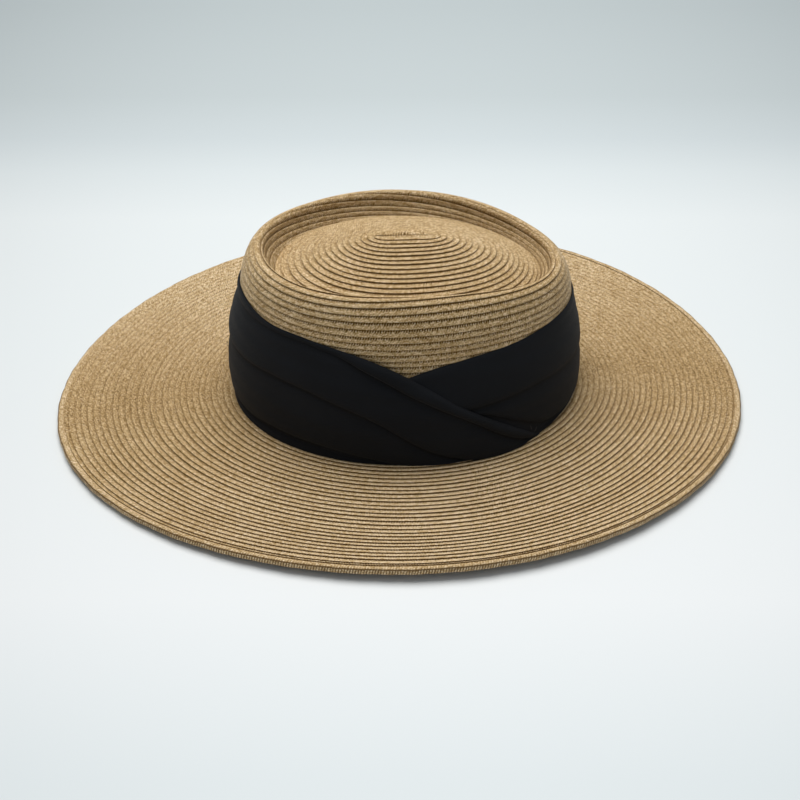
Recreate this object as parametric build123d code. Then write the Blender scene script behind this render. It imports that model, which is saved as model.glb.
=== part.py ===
"""Straw sun hat: a sewn paper-braid hat with a wide oval brim, a sunk oval tip and a crossed cloth band.

Millimetres. +X runs along the long axis of the head oval, towards the wearer's front or back (the hat is
the same both ways), +Y runs across it, and +Z is up. The hat stands on its turned-down brim edge at Z = 0,
and the origin is the middle of its footprint. The cloth band crosses over on the -Y side.
"""

from build123d import *
import math
import os

# ---- the head oval ----
# Every row of braid is an oval. Its half length is its half width plus a stretch, which stays the same
# from the straight first run of braid at the middle of the tip to the foot of the crown, and grows
# across the brim.
CROWN_STRETCH = 13.7
BRIM_STRETCH = 17.0

# ---- brim ----
BRIM_HALF_WIDTH = 183.0  # so the brim is 400 long and 366 wide
BRAID = 1.4  # thickness of the sewn braid
HEM_HEIGHT = 4.4
HEM_DEPTH = 3.6  # how far the turned-down row reaches in from the edge
HEM_WALL = 1.1
HEM_CHAMFER = 0.9
BREAK_HEIGHT = 11.0  # upper face of the brim where the crown rises from it
BRIM_RISE_POWER = 1.25  # above 1, the brim steepens towards the crown

# ---- brim wire ----
WIRE_RADIUS = 0.7
WIRE_INSET = 2.2  # wire centre, in from the edge
WIRE_GAP_DEG = 0.4  # between the two ends, at the back of the brim
JOINER_HALF_DEG = 3.5
JOINER_RADIUS = 1.0
WIRE_CLEARANCE = 0.02

# ---- crown ----
BASE_HALF_WIDTH = 84.6  # outer face of the side wall where it meets the brim
SHOULDER_HALF_WIDTH = 80.4  # outer face of the side wall where it starts to round over
SHOULDER_HEIGHT = 73.0
SHOULDER_FULLNESS = 0.77  # weight of the shoulder's conic: 0.71 is an ellipse, more is squarer
CREST_HALF_WIDTH = 69.3  # the highest ring of the crown
CREST_HEIGHT = 100.6
CREST_FALL_X = 0.06  # the crest leans down towards +X, a little down towards +Y
CREST_FALL_Y = 0.045
SIDE_SHARE = 0.6  # share of the shoulder that belongs to the side wall, the rest to the rim
SIDE_STEPS = 4
RIM_STEPS = 4
RIM_INSIDE = 3.2  # from the crest in to the top of the well
RIM_DROP = 5.6
WELL_FOOT = 60.5  # half width of the well where it meets the tip
WELL_BOTTOM = 87.5
TIP_LEAN = 0.5  # the tip leans by this share of the crest's lean
TIP_TOP = 107.5
TIP_SLOPE = 0.17  # slope of the tip at its middle
TIP_CURVE = 0.00257  # how fast that slope grows outwards
TIP_STEPS = 6
START_HALF_WIDTH = 3.6  # half width of the first, straight run of braid

# ---- sweatband, inside ----
SWEATBAND_FROM = 12.5
SWEATBAND_HEIGHT = 28.0
SWEATBAND = 0.6
FIT_GAP = 0.1  # between a cloth face and the straw

# ---- cloth band, outside ----
BAND_FROM = 11.3
BAND_BELLY = 2.4  # how much further the folds stand out half way up
BELLY_HEIGHT = 43.0
BAND_TOP_LEFT = 78.0
BAND_TOP_RIGHT = 77.0
NOTCH_HEIGHT = 61.5  # where the upper edges of the two strips cross
NOTCH_X = -6.5
CROSS_START = (-33.0, 74.5)  # upper edge of the crossing strip, (x, z)
CROSS_END = (69.0, 11.5)
UNDER_END_X = -28.0  # hidden end of the strip that runs underneath
INNER_LAYER = (0.1, 1.2)  # distances from the straw, for the strip underneath
SIDE_LAYER = (0.1, 1.5)
OUTER_LAYER = (1.3, 2.6)  # for the crossing strip, over the other one

# ---- stitches ----
THREAD = 0.4
STITCH_LENGTH = 3.0
STITCH_PITCH = 6.0
TAIL_LENGTH = 30.0
TAIL_WIDTH = 3.6
TAIL_THICKNESS = 0.8

QUARTER = 90


def stretch(half_width):
    """How much longer than wide an oval of this half width is, on each side."""
    share = (half_width - BASE_HALF_WIDTH) / (BRIM_HALF_WIDTH - BASE_HALF_WIDTH)
    return CROWN_STRETCH + (BRIM_STRETCH - CROWN_STRETCH) * max(share, 0.0)


def level(half_width, height):
    """The plane of a row. Rows of the crown lean more the higher they are, and the tip leans all alike."""
    share = max(0.0, (height - BREAK_HEIGHT) / (CREST_HEIGHT - BREAK_HEIGHT))
    if half_width < WELL_FOOT + 2 * BRAID:
        share = TIP_LEAN
    normal = (share * CREST_FALL_X, share * CREST_FALL_Y, 1.0)
    along = (1.0, 0.0, -share * CREST_FALL_X)
    return Plane(origin=(0, 0, height), x_dir=along, z_dir=normal)


def oval_arcs(half_width, height):
    """The four quarter arcs of one oval row."""
    plane = level(half_width, height)
    return [
        Edge.make_ellipse(
            half_width + stretch(half_width),
            half_width,
            plane=plane,
            start_angle=start,
            end_angle=start + QUARTER,
            angular_direction=AngularDirection.COUNTER_CLOCKWISE,
        )
        for start in range(0, 360, QUARTER)
    ]


def oval_solid(profile):
    """A closed ring whose section is the polygon of (half width, height) points in profile."""
    faces = []
    for (width, height), (next_width, next_height) in zip(profile, profile[1:] + profile[:1]):
        row = oval_arcs(width, height)
        following = oval_arcs(next_width, next_height)
        if height == next_height:
            outer, inner = (row, following) if width > next_width else (following, row)
            faces.append(Face(Wire(outer), [Wire(inner)]))
            continue
        for first, second in zip(row, following):
            faces.append(Face.make_surface_from_curves(first, second))
    return Solid(Shell(faces))


def wall_slope():
    return (SHOULDER_HALF_WIDTH - BASE_HALF_WIDTH) / (SHOULDER_HEIGHT - BREAK_HEIGHT)


def wall_face(height):
    """Half width of the outer face of the straight part of the side wall at this height."""
    return BASE_HALF_WIDTH + wall_slope() * (height - BREAK_HEIGHT)


def shoulder(share):
    """A (half width, height) point of the rounded shoulder, from the side wall (0) to the crest (1)."""
    corner = (wall_face(CREST_HEIGHT), CREST_HEIGHT)
    ends = (SHOULDER_HALF_WIDTH, SHOULDER_HEIGHT), corner, (CREST_HALF_WIDTH, CREST_HEIGHT)
    weights = (1 - share) ** 2, 2 * SHOULDER_FULLNESS * share * (1 - share), share**2
    total = sum(weights)
    return tuple(sum(w * end[i] for w, end in zip(weights, ends)) / total for i in range(2))


def inner_side(line, depth):
    """The points of a profile line moved a depth to its left, which is the inside of the hat."""
    moved = []
    for i, (width, height) in enumerate(line):
        before, after = line[max(i - 1, 0)], line[min(i + 1, len(line) - 1)]
        run, rise = after[0] - before[0], after[1] - before[1]
        length = math.hypot(run, rise)
        moved.append((width - depth * rise / length, height + depth * run / length))
    return moved


def brim_face(half_width):
    """Height of the upper face of the brim."""
    flat_edge = BRIM_HALF_WIDTH - HEM_DEPTH
    share = (flat_edge - half_width) / (flat_edge - BASE_HALF_WIDTH)
    return HEM_HEIGHT + (BREAK_HEIGHT - HEM_HEIGHT) * max(share, 0.0) ** BRIM_RISE_POWER


def tip_face(half_width):
    """Height of the upper face of the domed tip."""
    return TIP_TOP - TIP_SLOPE * half_width - TIP_CURVE * half_width**2


def point_on_oval(half_width, height, degrees):
    """A point of the oval and the direction along it, for small trim."""
    a = half_width + stretch(half_width)
    turn = math.radians(degrees)
    place = level(half_width, height).from_local_coords(Vector(a * math.cos(turn), half_width * math.sin(turn), 0))
    along = math.degrees(math.atan2(half_width * math.cos(turn), -a * math.sin(turn)))
    return place, along


# ---- straw ----


def make_brim():
    inner = BASE_HALF_WIDTH - BRAID
    outer = BRIM_HALF_WIDTH - HEM_DEPTH - 0.1
    stops = [outer, 150.0, 120.0, 100.0, BASE_HALF_WIDTH, inner]
    upper = [(r, brim_face(max(r, BASE_HALF_WIDTH))) for r in stops]
    lower = [(r, z - BRAID) for r, z in reversed(upper)]
    return oval_solid(upper + lower)


def make_hem():
    edge = BRIM_HALF_WIDTH
    inner = edge - HEM_DEPTH
    cavity = edge - HEM_WALL
    top = HEM_HEIGHT
    return oval_solid(
        [
            (inner, top),
            (edge - HEM_CHAMFER, top),
            (edge, top - HEM_CHAMFER),
            (edge, HEM_CHAMFER),
            (edge - HEM_CHAMFER, 0),
            (inner, 0),
            (inner, HEM_WALL),
            (cavity, HEM_WALL),
            (cavity, top - HEM_WALL),
            (inner, top - HEM_WALL),
        ]
    )


def crown_lines():
    """The outer and inner profile lines of the side wall and the rolled crest, foot first."""
    foot = BREAK_HEIGHT + 0.05
    outside = [(wall_face(foot), foot)]
    outside += [shoulder(SIDE_SHARE * i / SIDE_STEPS) for i in range(SIDE_STEPS + 1)]
    outside += [shoulder(SIDE_SHARE + (1 - SIDE_SHARE) * i / RIM_STEPS) for i in range(1, RIM_STEPS + 1)]
    for i in range(1, RIM_STEPS + 1):
        turn = math.pi / 2 * i / RIM_STEPS
        across = CREST_HALF_WIDTH - RIM_INSIDE * math.sin(turn)
        outside.append((across, CREST_HEIGHT - RIM_DROP * (1 - math.cos(turn))))
    inside = inner_side(outside, BRAID)
    inside[0] = (outside[0][0] - BRAID, outside[0][1])
    inside[-1] = (outside[-1][0] + BRAID, outside[-1][1])
    return outside, inside


def make_side_wall():
    outside, inside = crown_lines()
    last = SIDE_STEPS + 2
    return oval_solid(outside[:last] + inside[:last][::-1])


def make_rim():
    """The rolled crest: from the shoulder over into the well."""
    outside, inside = crown_lines()
    first = SIDE_STEPS + 1
    return oval_solid(outside[first:] + inside[first:][::-1])


def make_well():
    top = CREST_HALF_WIDTH - RIM_INSIDE
    height = CREST_HEIGHT - RIM_DROP - 0.05
    return oval_solid(
        [
            (top, height),
            (top + BRAID, height),
            (WELL_FOOT + BRAID, WELL_BOTTOM),
            (WELL_FOOT, WELL_BOTTOM),
        ]
    )


def make_tip():
    outer = WELL_FOOT + BRAID
    ledge = outer - BRAID - 1.5
    floor = WELL_BOTTOM - 0.05
    widths = [ledge - 2 - (ledge - 2 - START_HALF_WIDTH) * i / TIP_STEPS for i in range(TIP_STEPS + 1)]
    upper = [(outer, floor), (ledge, floor)]
    upper += [(r, tip_face(r)) for r in widths]
    lower = [(r, z - BRAID) for r, z in reversed(upper)]
    return oval_solid(upper + lower)


def make_braid_start():
    """The folded first run of braid that fills the middle of the tip."""
    height = tip_face(START_HALF_WIDTH)
    width = START_HALF_WIDTH - 0.1
    return oval_solid_cap(width, height - BRAID, height + 0.3)


def oval_solid_cap(half_width, low, high):
    """A small flat oval pad between two heights."""
    outline = Face(Wire(oval_arcs(half_width, low)))
    return Solid.extrude(outline, Vector(0, 0, high - low))


def make_braid_tail():
    """The last end of the braid, laid flat under the brim at the back and sewn down."""
    half_width = BRIM_HALF_WIDTH - HEM_DEPTH - TAIL_WIDTH
    height = brim_face(half_width + TAIL_WIDTH / 2) - BRAID - TAIL_THICKNESS - 0.15
    place, along = point_on_oval(half_width, height, 100)
    tail = Box(TAIL_LENGTH, TAIL_WIDTH, TAIL_THICKNESS, align=(Align.CENTER, Align.CENTER, Align.MIN))
    return Location(place, (0, 0, along)) * tail


# ---- brim wire ----


def wire_path(first, last):
    half_width = BRIM_HALF_WIDTH - WIRE_INSET
    return Edge.make_ellipse(
        half_width + stretch(half_width),
        half_width,
        plane=Plane(origin=(0, 0, HEM_HEIGHT / 2)),
        start_angle=first,
        end_angle=last,
        angular_direction=AngularDirection.COUNTER_CLOCKWISE,
    )


def make_wire():
    path = wire_path(QUARTER + WIRE_GAP_DEG / 2, QUARTER + 360 - WIRE_GAP_DEG / 2)
    return sweep(Plane(origin=path @ 0, z_dir=path % 0) * Circle(WIRE_RADIUS), path=path)


def make_joiner():
    path = wire_path(QUARTER - JOINER_HALF_DEG, QUARTER + JOINER_HALF_DEG)
    section = Circle(JOINER_RADIUS) - Circle(WIRE_RADIUS + WIRE_CLEARANCE)
    return sweep(Plane(origin=path @ 0, z_dir=path % 0) * section, path=path)


# ---- cloth ----


def make_sweatband():
    low = SWEATBAND_FROM
    high = low + SWEATBAND_HEIGHT
    outer = [wall_face(z) - BRAID - FIT_GAP for z in (low, high)]
    return oval_solid(
        [
            (outer[0], low),
            (outer[1], high),
            (outer[1] - SWEATBAND, high),
            (outer[0] - SWEATBAND, low),
        ]
    )


def stand_off(distance, height):
    """Half width of a cloth face that stands this far from the straw at its edges, and more half way up."""
    below = height < BELLY_HEIGHT
    edge = BAND_FROM if below else BAND_TOP_LEFT
    share = (height - edge) / (BELLY_HEIGHT - edge)
    return wall_face(height) + distance + BAND_BELLY * max(share, 0.0)


def cloth_layer(layer, top, over=False):
    """A full ring of cloth on the side wall, between two distances from the straw.

    Its inner face lies on the straw, or on the belly of another layer.
    """
    near, far = layer
    inside = [(stand_off(near, height), height) for height in (top, BELLY_HEIGHT, BAND_FROM)]
    if not over:
        inside = [(wall_face(height) + near, height) for height in (top, BAND_FROM)]
    return oval_solid(
        [
            (stand_off(far, BAND_FROM), BAND_FROM),
            (stand_off(far, BELLY_HEIGHT), BELLY_HEIGHT),
            (stand_off(far, top), top),
        ]
        + inside
    )


def front_piece(outline):
    """A block on the -Y side whose outline is given as (x, z) points."""
    face = Face(Wire.make_polygon([(x, 0, z) for x, z in outline], close=True))
    return Solid.extrude(face, Vector(0, -150, 0))


def back_piece(low_x, high_x, top):
    """A block on the +Y side, from low_x to high_x."""
    box = Box(high_x - low_x, 150, top + 10, align=(Align.MIN, Align.MIN, Align.MIN))
    return Pos(low_x, 0, 0) * box


def make_over_strip():
    top = BAND_TOP_LEFT + 2
    reach = 130
    side_outline = [
        (-reach, 0),
        (CROSS_START[0] + 3, 0),
        (CROSS_START[0] + 3, CROSS_START[1] - 1.5),
        CROSS_START,
        (-60.0, BAND_TOP_LEFT),
        (-reach, BAND_TOP_LEFT),
    ]
    cross_outline = [
        (CROSS_START[0] - 8, 0),
        (CROSS_END[0], 0),
        CROSS_END,
        (NOTCH_X, NOTCH_HEIGHT),
        CROSS_START,
        (CROSS_START[0] - 8, CROSS_START[1] + 1.5),
    ]
    side = cloth_layer(SIDE_LAYER, top)
    back = side & back_piece(-reach, -0.2, BAND_TOP_LEFT - 10)
    front = side & front_piece(side_outline)
    crossing = cloth_layer(OUTER_LAYER, top, over=True) & front_piece(cross_outline)
    return back + front + crossing


def make_under_strip():
    reach = 130
    outline = [
        (reach, 0),
        (reach, BAND_TOP_RIGHT),
        (62, BAND_TOP_RIGHT - 1),
        (NOTCH_X + 2, NOTCH_HEIGHT + 1.5),
        (UNDER_END_X, NOTCH_HEIGHT - 12),
        (UNDER_END_X, 0),
    ]
    ring = cloth_layer(INNER_LAYER, BAND_TOP_LEFT)
    back = ring & back_piece(0.2, reach, BAND_TOP_RIGHT - 10)
    return back + (ring & front_piece(outline))


# ---- thread ----


def stitch(half_width, height, degrees, upright=False):
    """One short straight stitch lying along the oval, or upright on the wall."""
    place, along = point_on_oval(half_width, height, degrees)
    size = (THREAD, THREAD, STITCH_LENGTH) if upright else (STITCH_LENGTH, THREAD, THREAD)
    return Location(place, (0, 0, along)) * Box(*size)


def stitch_ring(half_width, height):
    count = round(2 * math.pi * (half_width + stretch(half_width) / 2) / STITCH_PITCH)
    return [stitch(half_width, height, 360 * i / count) for i in range(count)]


def make_hem_stitches():
    half_width = BRIM_HALF_WIDTH - HEM_DEPTH - THREAD
    return stitch_ring(half_width, HEM_HEIGHT - BRAID - THREAD)


def make_sweatband_stitches():
    height = SWEATBAND_FROM + 2
    return stitch_ring(wall_face(height) - BRAID - FIT_GAP - SWEATBAND - THREAD, height)


def make_band_tacks():
    """Hand stitches that hold the band: two at the tucked end, one at each side, three at the back."""
    tucked = [(-50, 22.0), (-53, 24.5)]
    sides = [(0, 40.0), (180, 40.0)]
    back = [(90, 24.0), (90, 40.0), (90, 56.0)]
    tacks = []
    for degrees, height in tucked + sides + back:
        half_width = stand_off(OUTER_LAYER[1] + THREAD, height)
        tacks.append(stitch(half_width, height, degrees, upright=True))
    return tacks


PIECES = {
    "braid_start": make_braid_start,
    "crown_tip_braid": make_tip,
    "crown_well_braid": make_well,
    "crown_rim_braid": make_rim,
    "crown_side_braid": make_side_wall,
    "brim_braid": make_brim,
    "hem_braid": make_hem,
    "braid_tail": make_braid_tail,
    "brim_wire": make_wire,
    "wire_joiner": make_joiner,
    "hem_stitches": make_hem_stitches,
    "sweatband": make_sweatband,
    "sweatband_stitches": make_sweatband_stitches,
    "band_over_strip": make_over_strip,
    "band_under_strip": make_under_strip,
    "band_tack_stitches": make_band_tacks,
}

os.makedirs("parts", exist_ok=True)
for node, make in PIECES.items():
    shape = make()
    if isinstance(shape, list):
        shape = Compound(shape)
    export_step(shape, f"parts/{node}.step")
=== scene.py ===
"""Straw sun hat: the visible straw braid, cloth band and trim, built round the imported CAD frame."""

import math

import bpy
import numpy as np
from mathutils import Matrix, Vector


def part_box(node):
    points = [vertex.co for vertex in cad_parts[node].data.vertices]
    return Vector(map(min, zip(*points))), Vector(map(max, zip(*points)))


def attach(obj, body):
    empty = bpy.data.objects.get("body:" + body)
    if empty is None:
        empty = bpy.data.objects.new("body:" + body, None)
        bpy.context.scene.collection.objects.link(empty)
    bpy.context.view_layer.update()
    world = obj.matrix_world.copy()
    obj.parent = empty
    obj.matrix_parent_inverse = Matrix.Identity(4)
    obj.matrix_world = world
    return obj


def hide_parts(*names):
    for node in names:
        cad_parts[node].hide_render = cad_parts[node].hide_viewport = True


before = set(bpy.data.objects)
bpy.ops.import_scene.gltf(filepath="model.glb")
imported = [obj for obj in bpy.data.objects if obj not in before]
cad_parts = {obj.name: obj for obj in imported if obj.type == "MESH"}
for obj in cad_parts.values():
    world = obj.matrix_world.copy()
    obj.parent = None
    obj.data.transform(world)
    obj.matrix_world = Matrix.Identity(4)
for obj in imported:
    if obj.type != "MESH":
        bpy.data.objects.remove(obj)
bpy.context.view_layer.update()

# Lengths in this script are millimetres, turned into metres where a mesh is made.
MM = 0.001
ROOT = "root"


def node_box(node):
    """A CAD node's corners, in millimetres."""
    low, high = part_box(node)
    return [c / MM for c in low], [c / MM for c in high]


# ---- sizes read from the frame ----
_, brim_high = node_box("hem_braid")
EDGE = brim_high[1]  # half width of the brim
STRETCH = brim_high[0] - brim_high[1]  # how much longer than wide a full oval is, on each side
HEM_TOP = brim_high[2]
BREAK = node_box("brim_braid")[1][2]  # height of the brim where the crown rises from it
BASE = node_box("crown_side_braid")[1][1]  # half width of the side wall at its foot

# ---- shape of the crown, as in the CAD part ----
CROWN_STRETCH = 13.7
SHOULDER, SHOULDER_HEIGHT, SHOULDER_FULLNESS = 80.4, 73.0, 0.77
CREST_HALF_WIDTH, CREST = 69.3, 100.6
FALL_X, FALL_Y = 0.06, 0.045  # how the crest leans
RIM_INSIDE, RIM_DROP = 3.2, 5.6
WELL_FOOT, WELL_FLOOR = 60.5, 87.5
TIP_TOP, TIP_SLOPE, TIP_CURVE, TIP_LEAN = 107.5, 0.17, 0.00257, 0.5
HEM_DEPTH = 3.6
BRIM_RISE_POWER = 1.25

# ---- the hand-sewn hat: a shallow wave of the brim's edge and of the crest, and outlines that are a little
# uneven. Each is a list of (turns round the oval, cosine part, sine part).
BRIM_WAVE = [(0, 1.5, 0), (1, 0.3, -0.7), (2, -1.8, 0.6), (3, -0.6, -0.1)]
BRIM_LOBES = [(1, -1.1, 5.6), (2, -0.1, 1.3), (3, -1.2, -1.5), (4, 0.2, 0.5), (5, -0.1, -0.5)]
CURL_FROM, CURL_SPAN = 0.58, 0.38  # the brim's outer part lifts to the wave, by share of the brim's width
CREST_WAVE = [(2, -1.5, 0.3), (3, -0.5, 0.4), (4, 0.3, 0)]
CREST_LOBES = [(2, 0.4, -0.2), (3, 0.9, -1.6), (4, -0.1, -0.7)]

# ---- rows of braid ----
BRAID = 0.95  # thickness of one braid
HEM_HEIGHT, HEM_STRAW = 3.7, 0.85  # the turned-down row, and its straw where it is pressed round the wire
HEM_SEGMENTS = 2400
OVERLAP = 0.2  # share of a row that lies hidden under the row before it
FULL_TURN = 2 * math.pi
SEAM_ANGLE = math.radians(90)  # every zone starts and ends at the back
ROW_DRIFT, DRIFT_ANGLE = 6.0, math.radians(35)  # level rows climb over the leaning crest at its low end
SMALLEST = 0.02  # nearest that the first turn comes to the middle, in rows or millimetres
FIRST_TURN = 0.3  # where the braid begins, in turns
ROWS = {"start": 1, "tip": 17, "well": 3, "rim": 4, "side": 25, "brim": 28}
SHOULDER_ROWS, SHOULDER_PITCH = 3, 4.0  # the first rows of the side lie wider apart
PRESSED_ROWS = 6  # at the brim's edge, sewn flatter
ROW_WIDTH = 3.6  # of the braid itself, as its pattern is laid out
ROW_SEGMENTS = 360  # round one row
SEGMENTS = {"start": 260, "brim": 350}  # round one row, where a zone has its own number

rng = np.random.default_rng(11)


# ---------------------------------------------------------------- shape of the hat


def smooth_step(x):
    """0 to 1, level at both ends."""
    x = np.clip(x, 0.0, 1.0)
    return x * x * (3 - 2 * x)


def uneven(terms, turn):
    """The sum of a list of waves round the oval."""
    return sum(c * np.cos(n * turn) + s * np.sin(n * turn) for n, c, s in terms)


def place(half_width, height, angle):
    """The point of the hat at this half width and height, in millimetres, and angle round the oval."""
    r, z, turn = np.broadcast_arrays(
        np.asarray(half_width, float), np.asarray(height, float), np.asarray(angle, float)
    )
    c, s = np.cos(turn), np.sin(turn)
    on_brim = np.clip((r - BASE) / (EDGE - BASE), 0, None) * (z < BREAK + 3)
    on_tip = smooth_step((CREST_HALF_WIDTH - 3 - r) / 8.0)
    crest = np.clip((z - 40) / (CREST - 40), 0, 1.1) ** 1.5 * (r < BASE + 8)
    lobes = crest * uneven(CREST_LOBES, turn) * np.clip(r / WELL_FOOT, 0, 1)
    lobes = lobes + np.minimum(on_brim, 1.02) * uneven(BRIM_LOBES, turn)
    stretch = CROWN_STRETCH + (STRETCH - CROWN_STRETCH) * on_brim
    straight = np.exp(-np.maximum(r, 0) / 12.0)  # near the middle, an oval is two straight runs
    share = (1 - straight) * c + straight * np.clip(3 * c, -1, 1)
    x = (r + lobes) * c + stretch * share
    y = (r + lobes) * s
    lean = np.clip((z - BREAK) / (CREST - BREAK), 0, None) * (r < BASE + 8)
    lean = (1 - on_tip) * lean + on_tip * TIP_LEAN
    curl = smooth_step((on_brim - CURL_FROM) / CURL_SPAN)
    wave = curl * uneven(BRIM_WAVE, turn) + crest * (1 - on_tip) * uneven(CREST_WAVE, turn)
    return np.stack([x, y, z + wave - lean * (FALL_X * x + FALL_Y * y)], axis=-1)


def wall_half_width(height):
    """Half width of the straight side wall."""
    return BASE + (SHOULDER - BASE) * (height - BREAK) / (SHOULDER_HEIGHT - BREAK)


def shoulder(share):
    """Half width and height along the rounded shoulder, from the wall (0) to the crest (1)."""
    first, middle, last = (1 - share) ** 2, 2 * SHOULDER_FULLNESS * share * (1 - share), share**2
    total = first + middle + last
    r = (first * SHOULDER + middle * wall_half_width(CREST) + last * CREST_HALF_WIDTH) / total
    return r, (first * SHOULDER_HEIGHT + (middle + last) * CREST) / total


def profile_points():
    """The hat's outer profile as (half width, height), from the middle of the tip to the brim's hem."""
    r = np.linspace(0.0, WELL_FOOT - 2.6, 300)
    parts = [np.stack([r, TIP_TOP - TIP_SLOPE * r - TIP_CURVE * r**2], 1)]
    parts.append(np.array([[WELL_FOOT - 0.6, WELL_FLOOR], [WELL_FOOT, WELL_FLOOR]]))
    turn = np.linspace(math.pi / 2, 0, 20)
    inside = [CREST_HALF_WIDTH - RIM_INSIDE * np.sin(turn), CREST - RIM_DROP * (1 - np.cos(turn))]
    parts.append(np.stack(inside, 1))
    parts.append(np.stack(shoulder(np.linspace(1, 0, 60)[1:]), 1))
    share = np.linspace(0, 1, 120)
    flat_edge = EDGE - HEM_DEPTH
    brim = [BASE + (flat_edge - BASE) * share, HEM_TOP + (BREAK - HEM_TOP) * (1 - share) ** BRIM_RISE_POWER]
    parts.append(np.stack(brim, 1))
    return np.concatenate(parts)


class Profile:
    """The profile by its length along the surface, with its corners rounded."""

    STEP = 0.1
    ROUNDING = 0.9

    def __init__(self):
        raw = profile_points()
        run = np.concatenate([[0], np.cumsum(np.hypot(*np.diff(raw, axis=0).T))])
        self.marks = {}
        for name, point in {
            "well": (WELL_FOOT, WELL_FLOOR),
            "rim": (CREST_HALF_WIDTH - RIM_INSIDE, CREST - RIM_DROP),
            "crest": (CREST_HALF_WIDTH, CREST),
            "side": shoulder(0.6),
            "brim": (BASE, BREAK),
        }.items():
            self.marks[name] = run[np.argmin(np.hypot(raw[:, 0] - point[0], raw[:, 1] - point[1]))]
        self.length = run[-1]
        margin = 10.0
        even = np.arange(-margin, self.length + margin, self.STEP)
        r = np.interp(even, run, raw[:, 0])
        z = np.interp(even, run, raw[:, 1])
        before, after = even < 0, even > self.length
        last = (raw[-1] - raw[-8]) / np.hypot(*(raw[-1] - raw[-8]))
        r[before], z[before] = even[before], TIP_TOP
        r[after] = raw[-1, 0] + (even[after] - self.length) * last[0]
        z[after] = raw[-1, 1] + (even[after] - self.length) * last[1]
        reach = np.arange(-40, 41) * self.STEP
        kernel = np.exp(-0.5 * (reach / self.ROUNDING) ** 2)
        kernel /= kernel.sum()
        self.even = even
        self.r = np.convolve(np.pad(r, 40, mode="edge"), kernel, "valid")
        self.z = np.convolve(np.pad(z, 40, mode="edge"), kernel, "valid")
        tangent = np.stack([np.gradient(self.r), np.gradient(self.z)])
        tangent /= np.hypot(*tangent)
        self.nr, self.nz = -tangent[1], tangent[0]

    def at(self, s, lift):
        """Half width and height at length s along the surface, lifted off it."""
        r = np.interp(s, self.even, self.r) + lift * np.interp(s, self.even, self.nr)
        z = np.interp(s, self.even, self.z) + lift * np.interp(s, self.even, self.nz)
        return r, z


profile = Profile()
row_edges = [0]
for count in ROWS.values():
    row_edges.append(row_edges[-1] + count)
ZONE_ROWS = {name: (row_edges[i], row_edges[i + 1]) for i, name in enumerate(ROWS)}
UPPER_ZONES = ("well", "rim", "side")
ROW_MARKS = [0, *(ZONE_ROWS[zone][0] for zone in UPPER_ZONES),
             ZONE_ROWS["side"][0] + SHOULDER_ROWS, *ZONE_ROWS["brim"]]
ROW_LENGTHS = [0.0, *(profile.marks[zone] for zone in UPPER_ZONES),
               profile.marks["side"] + SHOULDER_ROWS * SHOULDER_PITCH, profile.marks["brim"], profile.length]


def row_length(row, angle):
    """Where a row lies along the profile. The wall's rows are level, so rows drift over the leaning crest."""
    s = np.interp(row, ROW_MARKS, ROW_LENGTHS)
    crest, foot = profile.marks["crest"], profile.marks["brim"]
    inward = smooth_step((s - 0.5 * crest) / (0.5 * crest))
    outward = np.clip((foot - s) / (foot - crest), 0, 1)
    return s - ROW_DRIFT * np.where(s < crest, inward, outward) * np.cos(angle - DRIFT_ANGLE)


# ---------------------------------------------------------------- mesh helpers


def link(obj):
    """Puts an object in the scene."""
    bpy.context.scene.collection.objects.link(obj)
    return obj


def grid_faces(columns, rows, wrap_columns=False, wrap_rows=False):
    """Quads of a grid of vertices numbered column by column."""
    i = np.arange(columns if wrap_columns else columns - 1)
    j = np.arange(rows if wrap_rows else rows - 1)
    i, j = [a.ravel() for a in np.meshgrid(i, j, indexing="ij")]
    i2, j2 = (i + 1) % columns, (j + 1) % rows
    return np.stack([i * rows + j, i2 * rows + j, i2 * rows + j2, i * rows + j2], axis=1)


def make_mesh(name, points, quads, caps=(), uv=None, sharp=None):
    """A smooth-shaded mesh piece from points in millimetres, its quads and any end caps.

    uv gives each quad corner its place on the braid or cloth, in millimetres.
    """
    mesh = bpy.data.meshes.new(name)
    points = np.asarray(points, float).reshape(-1, 3) * MM
    sizes = np.array([4] * len(quads) + [len(c) for c in caps])
    corners = np.concatenate([quads.ravel()] + [np.asarray(c) for c in caps]).astype(np.int32)
    mesh.vertices.add(len(points))
    mesh.vertices.foreach_set("co", points.ravel())
    mesh.loops.add(len(corners))
    mesh.loops.foreach_set("vertex_index", corners)
    mesh.polygons.add(len(sizes))
    starts = np.concatenate([[0], np.cumsum(sizes)[:-1]]).astype(np.int32)
    mesh.polygons.foreach_set("loop_start", starts)
    mesh.update(calc_edges=True)
    mesh.polygons.foreach_set("use_smooth", np.ones(len(sizes), bool))
    if uv is not None:
        layer = mesh.uv_layers.new(name="weave")
        spare = np.zeros((len(corners) - len(quads) * 4, 2))
        flat = np.concatenate([uv.reshape(-1, 2), spare]) * MM
        layer.data.foreach_set("uv", flat.astype(np.float32).ravel())
    if sharp is not None:
        mesh.set_sharp_from_angle(angle=math.radians(sharp))
    mesh.validate()
    return link(bpy.data.objects.new(name, mesh))


def end_caps(columns, rows):
    """The two end faces of a grid whose columns are closed rings."""
    return [np.arange(rows)[::-1], (columns - 1) * rows + np.arange(rows)]


def tube(path, radius, sides):
    """The rings of points of a round tube along a path."""
    path = np.asarray(path, float)
    along = np.gradient(path, axis=0)
    along /= np.linalg.norm(along, axis=1, keepdims=True)
    side = np.cross(along, [0.0, 0.0, 1.0])
    side /= np.linalg.norm(side, axis=1, keepdims=True)
    up = np.cross(side, along)
    turn = np.linspace(0, FULL_TURN, sides, endpoint=False)
    ring = np.cos(turn)[None, :, None] * side[:, None] + np.sin(turn)[None, :, None] * up[:, None]
    return path[:, None] + radius * ring


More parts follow.
